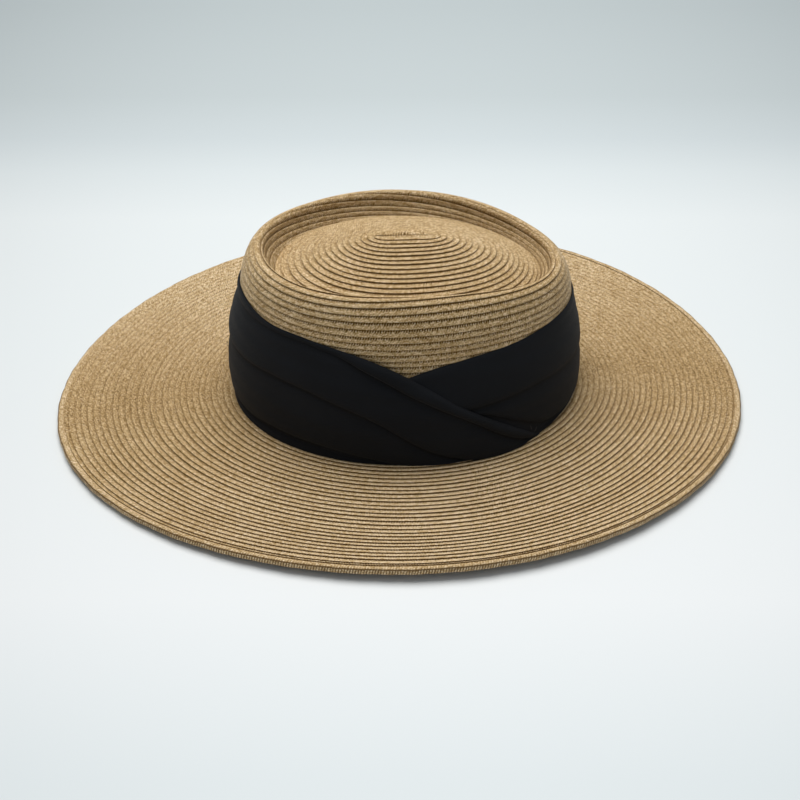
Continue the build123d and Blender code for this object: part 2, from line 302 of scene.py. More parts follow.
def join_tubes(name, tubes):
    """One mesh of many closed tubes."""
    blocks, quads, caps, offset = [], [], [], 0
    for rings in tubes:
        columns, rows = rings.shape[:2]
        blocks.append(rings.reshape(-1, 3))
        quads.append(grid_faces(columns, rows, wrap_rows=True) + offset)
        caps += [cap + offset for cap in end_caps(columns, rows)]
        offset += columns * rows
    return make_mesh(name, np.concatenate(blocks), np.concatenate(quads), caps)


# ---------------------------------------------------------------- straw braid

# One braid in section: (share of the row, lift in braid thicknesses above its sloping lower face).
BRAID_SECTION = [
    (-OVERLAP, 1.0),
    (0.10, 1.03),
    (0.36, 1.10),
    (0.64, 1.10),
    (0.88, 1.02),
    (0.985, 0.74),
    (0.99, 0.36),
    (0.93, 0.04),
    (0.45, 0.0),
    (-OVERLAP, 0.0),
]


def wander(turns, rate):
    """A slow uneven wave along the braid, the same each run."""
    total = np.zeros_like(turns)
    for harmonic in range(1, 5):
        phase = rng.uniform(0, FULL_TURN)
        total += np.sin(turns * rate * harmonic * 1.37 + phase) / harmonic
    return total / 1.6


def braid_strip(name, zone):
    """One closed strip of braid, wound in a spiral over a zone of the hat, each row lapping over the next."""
    segments = SEGMENTS.get(zone, ROW_SEGMENTS)
    first, last = ZONE_ROWS[zone]
    begin = max(first, FIRST_TURN)
    turns = np.arange(begin, last + 0.5 / segments, 1.0 / segments)
    share = np.array([p[0] for p in BRAID_SECTION])
    lift = np.array([p[1] for p in BRAID_SECTION])
    angle = SEAM_ANGLE + FULL_TURN * (turns % 1.0)
    angle = np.where((turns == last) & (turns % 1.0 == 0), SEAM_ANGLE + FULL_TURN, angle)
    wobble = 0.045 * wander(turns, 2.3) + 0.03 * wander(turns, 7.1)
    puff = 0.10 * wander(turns, 5.3)
    row = turns[:, None] + share[None, :]
    lapped = np.clip((turns[:, None] - 0.9) / 0.3, 0, 1)  # the first turn reaches in to the fold
    row = np.where(share[None, :] < 0, SMALLEST + (row - SMALLEST) * lapped, row)
    loose = np.clip(share, 0, 1)[None, :] * wobble[:, None]
    s = row_length(row + loose, angle[:, None])
    height = BRAID * (share[None, :] - 0.5 + (lift[None, :] - 1.0) + puff[:, None] * share[None, :])
    r, z = profile.at(s, height)
    points = place(np.maximum(r, SMALLEST), z, angle[:, None])
    columns, rows = len(turns), len(share)
    quads = grid_faces(columns, rows, wrap_rows=True)
    step = np.linalg.norm(np.diff(points[:, 2], axis=0), axis=1)
    u = np.concatenate([[0], np.cumsum(step)])
    pressed = np.clip((turns - last + PRESSED_ROWS) / PRESSED_ROWS, 0, 1) * (zone == "brim")
    first_run = 1.1 * np.clip((2.5 - turns) / 0.6, 0, 1)
    plain = first_run + 0.5 * pressed  # moves the dark gap in under the row before
    v = share[None, :] * ROW_WIDTH + plain[:, None] * (1 - np.clip(share, 0, 1))[None, :]
    uv_points = np.stack([np.broadcast_to(u[:, None], v.shape), v], axis=-1).reshape(-1, 2)
    return make_mesh(name, points, quads, end_caps(columns, rows), uv=uv_points[quads], sharp=50)


def hem_ring(name):
    """The last row, turned down round the brim's edge over the wire and in under it. Closed all round."""
    e, top, foot, straw = EDGE, HEM_TOP, HEM_TOP - HEM_HEIGHT, HEM_STRAW
    inside = e - HEM_DEPTH
    section = np.array([
        (inside - 1.0, top - 0.75),
        (inside, top - 0.35),
        (inside + 1.2, top + 0.15),
        (e - 1.2, top + 0.12),
        (e - 0.45, top - 0.2),
        (e - 0.1, top - 0.75),
        (e, top - 1.6),
        (e - 0.05, foot + 0.9),
        (e - 0.4, foot + 0.25),
        (e - 1.1, foot),
        (inside + 0.3, foot + 0.05),
        (inside, foot + 0.4),
        (inside + 0.3, foot + straw),
        (e - 1.4, foot + straw),
        (e - 1.05, foot + 1.6),
        (e - 1.4, top - straw),
        (inside, top - straw - 0.1),
        (inside - 1.0, top - 1.6),
    ])
    angle = SEAM_ANGLE + np.linspace(0, FULL_TURN, HEM_SEGMENTS, endpoint=False)
    on_face = (section[:, 0] > e - 0.5) & (section[:, 1] < top - 0.1)
    teeth = 0.10 * np.sin(angle * HEM_SEGMENTS / 3)
    teeth = teeth + 0.12 * np.sin(37 * angle) + 0.10 * np.sin(91 * angle + 1.0)
    r = section[None, :, 0] + teeth[:, None] * on_face[None, :]
    points = place(r, section[None, :, 1], angle[:, None])
    quads = grid_faces(HEM_SEGMENTS, len(section), wrap_columns=True, wrap_rows=True)
    girth = np.concatenate([[0], np.cumsum(np.hypot(*np.diff(section, axis=0).T))])
    outermost = 6  # the point of the section that the length round the hem is taken at
    ahead = np.linalg.norm(np.diff(points[:, outermost], axis=0, append=points[:1, outermost]), axis=1)
    u = np.concatenate([[0], np.cumsum(ahead)])
    columns, rows = quads[:, 0] // len(section), quads[:, 0] % len(section)
    nxt = np.minimum(rows + 1, len(section) - 1)
    corners = ((columns, rows), (columns + 1, rows), (columns + 1, nxt), (columns, nxt))
    uv = np.stack([np.stack([u[a], girth[b]], 1) for a, b in corners], axis=1)
    return make_mesh(name, points, quads, uv=uv, sharp=60)


# ---------------------------------------------------------------- cloth band


def curve(points):
    """A smooth function of the angle in degrees, close to its (degrees, value) points."""
    known = np.array(points, float)
    even = np.arange(known[0, 0] - 20, known[-1, 0] + 20, 1.0)
    values = np.interp(even, known[:, 0], known[:, 1])
    reach = np.arange(-9, 10)
    kernel = np.exp(-0.5 * (reach / 3.0) ** 2)
    kernel /= kernel.sum()
    values = np.convolve(np.pad(values, 9, mode="edge"), kernel, "valid")
    return lambda degrees: np.interp(degrees, even, values)


BAND_FOOT = BREAK - 1.1
SOFT_PASSES = 3  # of smoothing over the steps between panels
CREASE_DEPTH, CREASE_WIDTH = 1.5, 2.4
CLOTH_LEAST = 0.7  # least thickness of the folded cloth
EDGE_LAYER = 0.25  # its thickness right at its top and foot
TOP_ROUND, FOOT_ROUND = 1.6, 1.2  # height over which the cloth rounds in to its top and foot
BELLY_TOP, BELLY = 72.0, 3.3  # the folds stand further out half way up
SEAM_DEGREES, SEAM_DEPTH, SEAM_WIDTH = 90.0, 1.1, 1.3  # the band's seam at the back
OVER_END, UNDER_END = 313, -118  # degrees of the left strip's tucked end, and of the right strip's hidden end
# How far the band's foot stands out, from the left end (180 or -180) past the front (270 or -90).
FOOT_FLARE = curve([(-180, -0.9), (-150, -0.9), (-135, -0.4), (-115, -1.0), (-97, -0.6),
                    (-80, 1.2), (-66, 3.4), (-56, 2.0), (-44, 0.3), (0, 0.0), (90, 0.0),
                    (180, -0.9), (210, -0.9), (225, -0.4), (245, -1.0), (263, -0.6),
                    (280, 1.2), (294, 3.4), (304, 2.0), (316, 0.3)])

# The left strip's folds, by degrees round the oval: it starts at the back (90), passes the left end (180)
# and the front (270), and is tucked in at 313. Heights are before the crown's lean.
over_top = curve([(90, 77), (168, 78), (190, 80), (213, 76.5), (228, 77), (243.5, 74.7), (253, 71.2),
                  (260, 67), (266, 62.4), (273, 55.5), (282, 45), (293, 33), (306, 18.5), (313, 9.5)])
over_roll = curve([(90, 71.5), (213, 73.5), (232, 73.8), (243.7, 71), (249, 66.8), (255.4, 62.2),
                   (261.4, 57.2), (267.3, 51.8), (273, 46.6), (280, 40.5), (287, 33), (296, 22),
                   (304, 14), (313, 8.9)])
over_fold = curve([(90, 43), (180, 47), (204, 48.2), (217, 49.7), (232.6, 48.3), (246, 43.5), (255.3, 38),
                   (263, 29.9), (269, 21.5), (277, 15), (284, 11), (313, 8.6)])
over_hem = curve([(90, 17), (180, 15.5), (205, 15.4), (216, 17.2), (237, 16.6), (247, 15), (257, 12.2),
                  (268, 9.8), (313, 8.5)])

# The right strip, from under the crossing (-118) round the right end (0) to the back (90).
under_top = curve([(-118, 44), (-104, 54), (-94, 61.5), (-85, 66.2), (-72, 70.2), (-58, 72.7), (-44, 76),
                   (-33, 78.3), (-20, 79.4), (0, 79), (90, 77)])
under_fold = curve([(-118, 36), (-85, 39.5), (-72, 42), (-65, 43.3), (-57, 44.2), (-48, 45.5), (-36.5, 44.8),
                    (0, 41), (90, 43)])
under_hem = curve([(-118, 35), (-69, 37.5), (-62, 30.4), (-57, 26.5), (-44, 15.5), (-30, 13), (0, 14),
                   (90, 17)])


def panels(share, lines, shapes):
    """Height and stand-off of a strip of panels that lap like shingles, from its foot to its top edge.

    lines are the heights of the panels' edges, lowest first, and shapes gives each panel its
    (stand-off at its lower edge, stand-off at its upper edge, puff in the middle).
    """
    count = len(shapes)
    panel = np.minimum((share * count).astype(int), count - 1)
    inside = share * count - panel
    low = np.choose(panel, lines[:-1])
    high = np.choose(panel, lines[1:])
    height = low + (high - low) * inside
    lower, upper, puff = [np.choose(panel, [shape[k] for shape in shapes]) for k in range(3)]
    narrow = np.clip((high - low) / 8.0, 0, 1)
    bow = np.sqrt(np.clip(1 - (2 * inside - 1) ** 2, 0, 1))
    return height, lower + (upper - lower) * inside + puff * narrow * bow


def soften(values, passes):
    """Rounds off steps between neighbours up the strip."""
    for _ in range(passes):
        padded = np.pad(values, ((0, 0), (1, 1)), mode="edge")
        values = 0.25 * padded[:, :-2] + 0.5 * padded[:, 1:-1] + 0.25 * padded[:, 2:]
    return values


def crease(height, line, depth, width):
    """A soft furrow along a line of the cloth, sharp on its upper side."""
    gap = height - line
    return -depth * np.exp(-np.abs(gap) / np.where(gap > 0, 0.5 * width, width))


def ripple(degrees, height, seed):
    """Shallow wrinkles that run along the strip."""
    local = np.random.default_rng(seed)
    total = np.zeros_like(height)
    for _ in range(9):
        along, across = local.uniform(0.02, 0.09), local.uniform(0.18, 0.75)
        phase = local.uniform(0, FULL_TURN)
        total += local.uniform(0.3, 1.0) * np.sin(degrees * along + height * across + phase)
    return 0.07 * total


def band_belly(height):
    """How far the soft band bulges from the wall of the crown."""
    return BELLY * np.sin(math.pi * np.clip((height - BAND_FOOT) / (BELLY_TOP - BAND_FOOT), 0, 1))


def fold_layout(grid_degrees, grid_share, lines, shapes):
    """Heights, stand-off and fold shading of the panels, and the height of the strip's top edge."""
    edges = [BAND_FOOT + 0.0 * grid_degrees] + [line(grid_degrees) for line in lines]
    for k in range(1, len(edges)):
        edges[k] = np.maximum(edges[k], edges[k - 1] + 0.15)
    shaped = [[part(grid_degrees) if callable(part) else part for part in shape] for shape in shapes]
    shaped = [[np.broadcast_to(p, grid_degrees.shape) for p in shape] for shape in shaped]
    height, stand = panels(grid_share, edges, shaped)
    stand = soften(stand, SOFT_PASSES)
    shade = np.zeros_like(stand)
    for line in edges[1:-1]:
        fades = np.clip((edges[-1] - line) / 5.0, 0, 1) * np.clip((line - BAND_FOOT) / 3.0, 0, 1)
        stand = stand + crease(height, line, CREASE_DEPTH * fades, CREASE_WIDTH)
        shade = np.maximum(shade, fades * np.exp(-(((height - line) / 1.1) ** 2)))
    return height, stand, shade, edges[-1]


def close_edges(degrees, height, stand, near, top):
    """Rounds the cloth in to its top edge and foot, and draws it in at the back seam."""
    top_share = np.clip((top - height) / TOP_ROUND, 0, 1)
    foot_share = np.clip((height - BAND_FOOT) / FOOT_ROUND, 0, 1)
    for share in (top_share, foot_share):
        stand = near + EDGE_LAYER + (stand - near - EDGE_LAYER) * np.sqrt(1 - (1 - share) ** 2)
    seam = SEAM_DEPTH * np.exp(-(((degrees - SEAM_DEGREES) / SEAM_WIDTH) ** 2))
    return np.maximum(stand - seam, near + 0.4 * top_share * foot_share)


def band_strip(name, last, lines, shapes, inner, seed):
    """A closed strip of folded cloth round the crown, from the back seam to its other end."""
    degrees = np.linspace(SEAM_DEGREES, last, int(abs(last - SEAM_DEGREES) * 2.2))
    steps_per_panel = 18
    share = np.linspace(0, 1, len(shapes) * steps_per_panel + 1)
    grid_degrees, grid_share = np.meshgrid(degrees, share, indexing="ij")
    height, stand, shade, top = fold_layout(grid_degrees, grid_share, lines, shapes)
    near = inner(grid_degrees)
    stand = np.maximum(stand, near + CLOTH_LEAST) + ripple(grid_degrees, height, seed)
    stand = close_edges(grid_degrees, height, stand, near, top)
    belly = band_belly(height)
    flare = FOOT_FLARE(grid_degrees) * np.clip(1 - (height - BAND_FOOT) / 22.0, 0, 1)
    stand = stand + belly + flare
    near = near + np.where(near > 1, belly, 0.0)
    radians = np.radians(grid_degrees)
    outer = place(wall_half_width(height) + stand, height, radians)
    inside = place(wall_half_width(height) + near, height, radians)
    columns, rows = len(degrees), len(share)
    shell = np.concatenate([outer, inside[:, ::-1]], axis=1)
    quads = grid_faces(columns, 2 * rows, wrap_rows=True)
    caps = end_caps(columns, 2 * rows)
    run = np.linalg.norm(np.diff(outer[:, rows // 2], axis=0), axis=1)
    u = np.concatenate([[0], np.cumsum(run)])
    v = np.concatenate([height, height[:, ::-1]], axis=1)
    uv_points = np.stack([np.broadcast_to(u[:, None], v.shape), v], axis=-1).reshape(-1, 2)
    if last > SEAM_DEGREES:
        quads, caps = quads[:, ::-1], [c[::-1] for c in caps]
    strip = make_mesh(name, shell, quads, caps, uv=uv_points[quads], sharp=55)
    # painted shade along the creases, read by the cloth material
    fold_shade = strip.data.attributes.new("fold_shade", "FLOAT", "POINT")
    both_faces = np.concatenate([shade, 0 * shade], axis=1)
    fold_shade.data.foreach_set("value", both_faces.astype(np.float32).ravel())
    return strip


def over_band():
    """The left strip, which lifts off the wall where it crosses over the right one."""
    lift = curve([(90, 0.0), (228, 0.0), (248, 1.6), (OVER_END, 1.6)])
    plump = curve([(90, 0.3), (228, 0.4), (252, 1.6), (290, 2.2), (306, 1.4), (OVER_END, 0.6)])
    shapes = [
        (lambda d: lift(d) + 2.5, lambda d: lift(d) + 1.5, 0.3),
        (lambda d: lift(d) + 2.7, lambda d: lift(d) + 1.4, 0.5),
        (lambda d: lift(d) + 2.7, lambda d: lift(d) + 1.5, 0.5),
        (lambda d: lift(d) + 1.6, lambda d: lift(d) + 1.2, plump),
    ]
    lines = [over_hem, over_fold, over_roll, over_top]
    return band_strip("band_over_strip_cloth", OVER_END, lines, shapes, lambda d: lift(d) + 0.3, 3)


def under_band():
    """The right strip, flat against the wall."""
    shapes = [(2.0, 1.3, 0.3), (2.3, 1.3, 0.5), (2.2, 1.2, 0.5)]
    lines = [under_hem, under_fold, under_top]
    flat = curve([(UNDER_END, 0.3), (90, 0.3)])
    return band_strip("band_under_strip_cloth", UNDER_END, lines, shapes, flat, 8)


# ---------------------------------------------------------------- materials


def material(name):
    """A new material with an empty node tree."""
    mat = bpy.data.materials.new(name)
    mat.use_nodes = True
    mat.node_tree.nodes.clear()
    return mat, Nodes(mat.node_tree)


class Nodes:
    """Short names for making and linking shader nodes."""

    def __init__(self, tree):
        self.tree = tree

    def add(self, kind, **settings):
        node = self.tree.nodes.new(kind)
        for key, value in settings.items():
            setattr(node, key, value)
        return node

    def feed(self, socket, value):
        if isinstance(value, bpy.types.NodeSocket):
            self.tree.links.new(value, socket)
        else:
            socket.default_value = value

    def math(self, operation, a, b=0.0, c=None):
        node = self.add("ShaderNodeMath", operation=operation)
        self.feed(node.inputs[0], a)
        self.feed(node.inputs[1], b)
        if c is not None:
            self.feed(node.inputs[2], c)
        return node.outputs[0]

    def clamp(self, value, low=0.0, high=1.0):
        """A value held between two limits."""
        return self.math("MINIMUM", self.math("MAXIMUM", value, low), high)

    def split(self, vector):
        """The three parts of a vector."""
        node = self.add("ShaderNodeSeparateXYZ")
        self.tree.links.new(vector, node.inputs[0])
        return node.outputs

    def weave(self):
        """Metres along and across the braid or cloth."""
        return self.split(self.add("ShaderNodeUVMap", uv_map="weave").outputs[0])[:2]

    def place(self):
        """The point on the object, in metres."""
        return self.add("ShaderNodeTexCoord").outputs["Object"]

    def ramp(self, value, stops):
        node = self.add("ShaderNodeValToRGB")
        elements = node.color_ramp.elements
        while len(elements) < len(stops):
            elements.new(0.5)
        for element, (position, color) in zip(elements, stops):
            element.position = position
            element.color = (*color, 1.0)
        self.feed(node.inputs[0], value)
        return node.outputs[0]

    def mix(self, blend, factor, a, b):
        node = self.add("ShaderNodeMix", data_type="RGBA", blend_type=blend)
        self.feed(node.inputs["Factor"], factor)
        self.feed(node.inputs[6], a)
        self.feed(node.inputs[7], b)
        return node.outputs[2]

    def noise(self, vector, scale, detail=2.0, rough=0.5):
        node = self.add("ShaderNodeTexNoise", noise_dimensions="3D")
        self.feed(node.inputs["Vector"], vector)
        node.inputs["Scale"].default_value = scale
        node.inputs["Detail"].default_value = detail
        node.inputs["Roughness"].default_value = rough
        return node.outputs["Fac"]

    def finish(self, color, roughness, height=None, bump=0.3, distance=0.0005, **others):
        """Ends the material in one shader, with relief from a height."""
        shader = self.add("ShaderNodeBsdfPrincipled")
        self.feed(shader.inputs["Base Color"], color)
        self.feed(shader.inputs["Roughness"], roughness)
        for key, value in others.items():
            self.feed(shader.inputs[key.replace("_", " ")], value)
        if height is not None:
            node = self.add("ShaderNodeBump")
            node.inputs["Strength"].default_value = bump
            node.inputs["Distance"].default_value = distance
            self.feed(node.inputs["Height"], height)
            self.tree.links.new(node.outputs[0], shader.inputs["Normal"])
        output = self.add("ShaderNodeOutputMaterial")
        self.tree.links.new(shader.outputs[0], output.inputs["Surface"])


STRAND, HEM_STRAND = 1.4, 1.5  # length along the braid of one plait
LANE, FLECK_LANE = 0.62, 0.5  # width of the strands' relief and of the flecks' colour, across the braid
HEM_BEND, HEM_LINE = 6.2, 4.7  # girth at the middle of the hem's face, and at the furrow along its top
STRAW_TONES = [(0.08, (0.13, 0.066, 0.010)), (0.32, (0.345, 0.212, 0.076)),
               (0.58, (0.535, 0.366, 0.177)), (0.88, (0.85, 0.675, 0.45))]
# the dark of the braid's holes and gaps, also used as painted shade under the steps, on the risers and in the
# hem's recesses
STRAW_GAP_AND_SHADE = (0.085, 0.036, 0.001, 1.0)
# the cloth's own black, and the painted shade colour for its creases
BAND_BLACK, PAINTED_FOLD_SHADE = (0.0046, 0.0052, 0.0066), (0.0008, 0.0008, 0.001, 1.0)


def braid_place(n):
    """Millimetres along and across the braid."""
    along, across = n.weave()
    return n.math("MULTIPLY", along, 1 / MM), n.math("MULTIPLY", across, 1 / MM)


def chance(n, a, b):
    """A random share for each pair of whole numbers."""
    seed = n.add("ShaderNodeCombineXYZ")
    n.feed(seed.inputs[0], a)
    n.feed(seed.inputs[1], b)
    white = n.add("ShaderNodeTexWhiteNoise", noise_dimensions="3D")
    n.tree.links.new(seed.outputs[0], white.inputs["Vector"])
    return white.outputs["Value"]


def facing(n):
    """0 at the two ends of the oval, 1 at its two long sides."""
    x, y = n.split(n.place())[:2]
    radius = n.math("SQRT", n.math("ADD", n.math("MULTIPLY", x, x), n.math("MULTIPLY", y, y)))
    return n.math("DIVIDE", n.math("ABSOLUTE", y), n.math("MAXIMUM", radius, 0.001))


def straw_tone(n, along, across, strand):
    """Straw colour: flecks of single plaits, fibres and slow patches."""
    lane = n.math("FLOOR", n.math("DIVIDE", across, FLECK_LANE))
    slant = n.math("MULTIPLY", across, 0.9)
    half = n.math("DIVIDE", n.math("ADD", along, slant), 0.5 * STRAND)
    fleck = chance(n, n.math("FLOOR", half), lane)
    patch = n.noise(n.place(), 26.0, 3.0)
    fibre_space = n.add("ShaderNodeCombineXYZ")
    n.feed(fibre_space.inputs[0], n.math("MULTIPLY", along, 0.9))
    n.feed(fibre_space.inputs[1], n.math("MULTIPLY", across, 5.0))
    fibre = n.noise(fibre_space.outputs[0], 1.0, 3.0, 0.7)
    tone = n.math("MULTIPLY_ADD", fleck, 0.56, 0.155)
    tone = n.math("ADD", tone, n.math("MULTIPLY", n.math("SUBTRACT", patch, 0.5), 0.16))
    tone = n.math("ADD", tone, n.math("MULTIPLY", n.math("SUBTRACT", fibre, 0.5), 0.34))
    # strand carries the plait relief and, from straw_material, the painted side light
    tone = n.math("ADD", tone, n.math("MULTIPLY", strand, 0.20))
    return fleck, n.ramp(tone, STRAW_TONES)


def straw_gap_and_shade(n, along, across, side):
    """How dark the braid is: in the gap beside the row before and in the teeth there, the braid's own dark
    holes with painted shade under the step, and painted shade on the riser at its own edge. The painted shade
    is stronger at the long sides of the oval.
    """
    plait = n.math("DIVIDE", n.math("MULTIPLY_ADD", across, 0.35, along), STRAND)
    luck = chance(n, n.math("FLOOR", plait), 7.0)
    tooth = n.math("MULTIPLY", n.math("PINGPONG", plait, 0.5), 2.0)
    tooth = n.clamp(n.math("MULTIPLY", n.math("SUBTRACT", tooth, 0.35), 2.6))
    from_gap = n.math("ABSOLUTE", across)
    reach = n.math("MULTIPLY_ADD", luck, 1.2, 0.9)
    fade = n.math("MAXIMUM", n.math("SUBTRACT", 1.0, n.math("DIVIDE", from_gap, reach)), 0.0)
    teeth = n.math("MINIMUM", n.math("MULTIPLY", n.math("MULTIPLY", tooth, fade), 2.4), 1.0)
    gap = n.clamp(n.math("MULTIPLY", n.math("SUBTRACT", 0.45, from_gap), 3.0))
    gap = n.math("MULTIPLY", gap, 0.55)
    # painted shade on the riser at the row's own edge
    edge = n.clamp(n.math("MULTIPLY", n.math("SUBTRACT", across, 0.93 * ROW_WIDTH), 6.0))
    edge = n.math("MULTIPLY", edge, n.math("MULTIPLY_ADD", tooth, 0.4, 0.55))
    dark = n.math("MAXIMUM", n.math("MAXIMUM", teeth, gap), edge)
    # painted shade: stronger at the long sides of the oval than at its ends
    return n.math("MINIMUM", n.math("MULTIPLY", dark, n.math("MULTIPLY_ADD", side, 0.65, 0.45)), 1.0)


def straw_material(name, painted_side_light):
    """Plaited paper straw. lustre paints light and shade into the tone by the side of the oval: its first
    value at the ends, its second at the long sides.
    """
    mat, n = material(name)
    along, across = braid_place(n)
    slant = n.math("MULTIPLY", n.math("ABSOLUTE", n.math("SUBTRACT", across, ROW_WIDTH / 2)), 0.95)
    inside = n.math("FRACT", n.math("DIVIDE", n.math("ADD", along, slant), STRAND))
    arch = n.math("SINE", n.math("MULTIPLY", inside, math.pi))
    lane = n.math("FRACT", n.math("DIVIDE", across, LANE))
    over = n.math("SINE", n.math("MULTIPLY", lane, math.pi))
    strand = n.math("MULTIPLY", arch, n.math("MULTIPLY_ADD", over, 0.45, 0.55))
    # painted light: side is 0 at the ends of the oval and 1 at its long sides, and shifts the tone and the
    # painted gap shade there
    side = facing(n)
    strand_tone = n.math("ADD", strand, n.math("MULTIPLY_ADD", side, painted_side_light[1] - painted_side_light[0], painted_side_light[0]))
    fleck, color = straw_tone(n, along, across, strand_tone)
    dark = straw_gap_and_shade(n, along, across, side)
    color = n.mix("MIX", dark, color, STRAW_GAP_AND_SHADE)
    roughness = n.math("MULTIPLY_ADD", fleck, 0.22, 0.42)
    shine = n.math("MULTIPLY", n.math("SUBTRACT", 1.0, dark), 0.22)
    n.finish(color, roughness, height=strand, bump=0.6, distance=0.0003, Specular_IOR_Level=shine)
    return mat


def hem_material(name):
    """The braid seen on its edge at the hem: upright strands with dark gaps between them, partly painted
    shade in the recesses, and a painted shade line along the furrow at its top.
    """
    mat, n = material(name)
    along, across = braid_place(n)
    upright = n.math("DIVIDE", n.math("MULTIPLY_ADD", across, 0.2, along), HEM_STRAND)
    strand = n.math("MULTIPLY", n.math("PINGPONG", upright, 0.5), 2.0)
    _, color = straw_tone(n, along, across, strand)
    luck = chance(n, n.math("FLOOR", upright), 3.0)
    gap = n.math("MULTIPLY", n.math("SUBTRACT", n.math("MULTIPLY_ADD", luck, 0.3, 0.35), strand), 3.0)
    gap = n.clamp(gap, high=0.85)
    from_bend = n.math("ABSOLUTE", n.math("SUBTRACT", across, HEM_BEND))
    on_face = n.clamp(n.math("SUBTRACT", 2.6, from_bend))
    # painted shade along the furrow at the top of the hem
    from_line = n.math("ABSOLUTE", n.math("SUBTRACT", across, HEM_LINE))
    line = n.clamp(n.math("MULTIPLY_ADD", from_line, -2.2, 1.35), high=0.9)
    color = n.mix("MIX", n.math("MAXIMUM", n.math("MULTIPLY", gap, on_face), line), color, STRAW_GAP_AND_SHADE)
    n.finish(color, 0.6, height=strand, bump=0.6, distance=0.0004, Specular_IOR_Level=0.35)
    return mat


def cloth_material(name, colour, pitch, sheen):
    """Fine plain-weave cloth, with painted shade along its folds."""
    mat, n = material(name)
    threads = []
    for direction in n.weave():
        count = n.math("MULTIPLY", direction, 1 / (MM * pitch))
        threads.append(n.math("ABSOLUTE", n.math("SINE", n.math("MULTIPLY", count, math.pi))))
    weave = n.math("MAXIMUM", *threads)
    where = n.place()
    lint = n.noise(where, 900.0, 2.0)
    patch = n.noise(where, 30.0, 3.0)
    tone = n.math("ADD", n.math("MULTIPLY", patch, 0.5), n.math("MULTIPLY", weave, 0.3))
    tone = n.math("ADD", tone, n.math("MULTIPLY", lint, 0.3))
    dark = tuple(0.55 * c for c in colour)
    light = tuple(1.6 * c for c in colour)
    color = n.ramp(tone, [(0.25, dark), (0.85, light)])
    fold_shade = n.add("ShaderNodeAttribute", attribute_name="fold_shade")
    # painted shade: darkens the colour along the creases
    color = n.mix("MIX", n.math("MULTIPLY", fold_shade.outputs["Fac"], 0.75), color, PAINTED_FOLD_SHADE)
    roughness = n.math("MULTIPLY_ADD", lint, 0.15, 0.74)
    n.finish(color, roughness, height=weave, bump=0.35, distance=0.00012,
             Specular_IOR_Level=0.14, Sheen_Weight=sheen, Sheen_Roughness=0.45)
    return mat


RIB_PITCH = 0.9


def ribbed_material(name, colour):
    """Ribbed cotton tape for the sweatband."""
    mat, n = material(name)
    along = n.weave()[0]
    rib = n.math("ABSOLUTE", n.math("SINE", n.math("MULTIPLY", along, math.pi / (RIB_PITCH * MM))))
    fuzz = n.noise(n.place(), 500.0, 3.0)
    tone = n.math("ADD", n.math("MULTIPLY", rib, 0.6), n.math("MULTIPLY", fuzz, 0.4))
    color = n.ramp(tone, [(0.2, tuple(0.5 * c for c in colour)), (0.9, tuple(1.25 * c for c in colour))])
    n.finish(color, n.math("MULTIPLY_ADD", fuzz, 0.2, 0.7), height=rib, bump=0.5, distance=0.0003,
             Sheen_Weight=0.15)
    return mat


def thread_material(name, colour):
    """Twisted sewing thread."""
    mat, n = material(name)
    twist = n.noise(n.place(), 2200.0, 2.0)
    color = n.ramp(twist, [(0.3, tuple(0.6 * c for c in colour)), (0.75, tuple(1.3 * c for c in colour))])
    n.finish(color, n.math("MULTIPLY_ADD", twist, 0.2, 0.5), height=twist, bump=0.3, distance=0.0001)
    return mat


def metal_material(name, colour):
    """Drawn metal."""
    mat, n = material(name)
    drawn = n.noise(n.place(), 700.0, 3.0)
    color = n.ramp(drawn, [(0.3, tuple(0.75 * c for c in colour)), (0.8, colour)])
    n.finish(color, n.math("MULTIPLY_ADD", drawn, 0.25, 0.25), height=drawn, bump=0.1, distance=0.0001,
             Metallic=1.0)
    return mat


# painted side light: the brim straw is painted darker at the ends of the oval and lighter at its long sides;
# the crown straw gets one even shift
STRAW = straw_material("straw", (-0.1, -0.1))
BRIM_STRAW_PAINTED_LIGHT = straw_material("straw_brim_painted_side_light", (-0.75, 0.55))
STRAW_EDGE = hem_material("straw_edge")
BAND = cloth_material("band_cloth", BAND_BLACK, 0.34, 0.03)
TAPE = ribbed_material("sweatband_tape", (0.16, 0.12, 0.08))
TAN_THREAD = thread_material("tan_thread", (0.36, 0.24, 0.12))
BROWN_THREAD = thread_material("brown_thread", (0.12, 0.08, 0.05))
BLACK_THREAD = thread_material("black_thread", (0.02, 0.02, 0.022))
STEEL = metal_material("wire_steel", (0.55, 0.55, 0.56))
BRASS = metal_material("joiner_brass", (0.62, 0.48, 0.22))


def finish_piece(piece, mat, slot, *nodes):
    """Gives a piece its material and body, and puts it in place of its CAD nodes. The slot is not used."""
    piece.data.materials.append(mat)
    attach(piece, ROOT)
    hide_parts(*nodes)
    return piece


# ---------------------------------------------------------------- trim


THREAD_SIDES = 6


def stitch_run(name, half_width, height, pitch, length, radius, rise):
    """A ring of short arched stitches, all in one mesh."""
    mean_half_width = half_width + STRETCH / 2
    count = round(FULL_TURN * mean_half_width / pitch)
    t = np.linspace(-0.5, 0.5, 7)
    arch = np.cos(t * math.pi)
    stitches = []
    for i in range(count):
        lean = rng.uniform(-0.12, 0.12)
        r = half_width + rise[0] * arch + lean * 2 * t
        angle = FULL_TURN * i / count + t * length / mean_half_width
        stitches.append(tube(place(r, height + rise[1] * arch, angle), radius, THREAD_SIDES))
    return join_tubes(name, stitches)


def ring_tube(name, half_width, height, radius, first, last, segments, sides=12):
    """A tube that follows the brim's edge between two angles in degrees."""
    angle = np.radians(np.linspace(first, last, segments))
    path = place(np.full(segments, half_width), np.full(segments, height), angle)
    quads = grid_faces(segments, sides, wrap_rows=True)
    return make_mesh(name, tube(path, radius, sides), quads, end_caps(segments, sides), sharp=50)


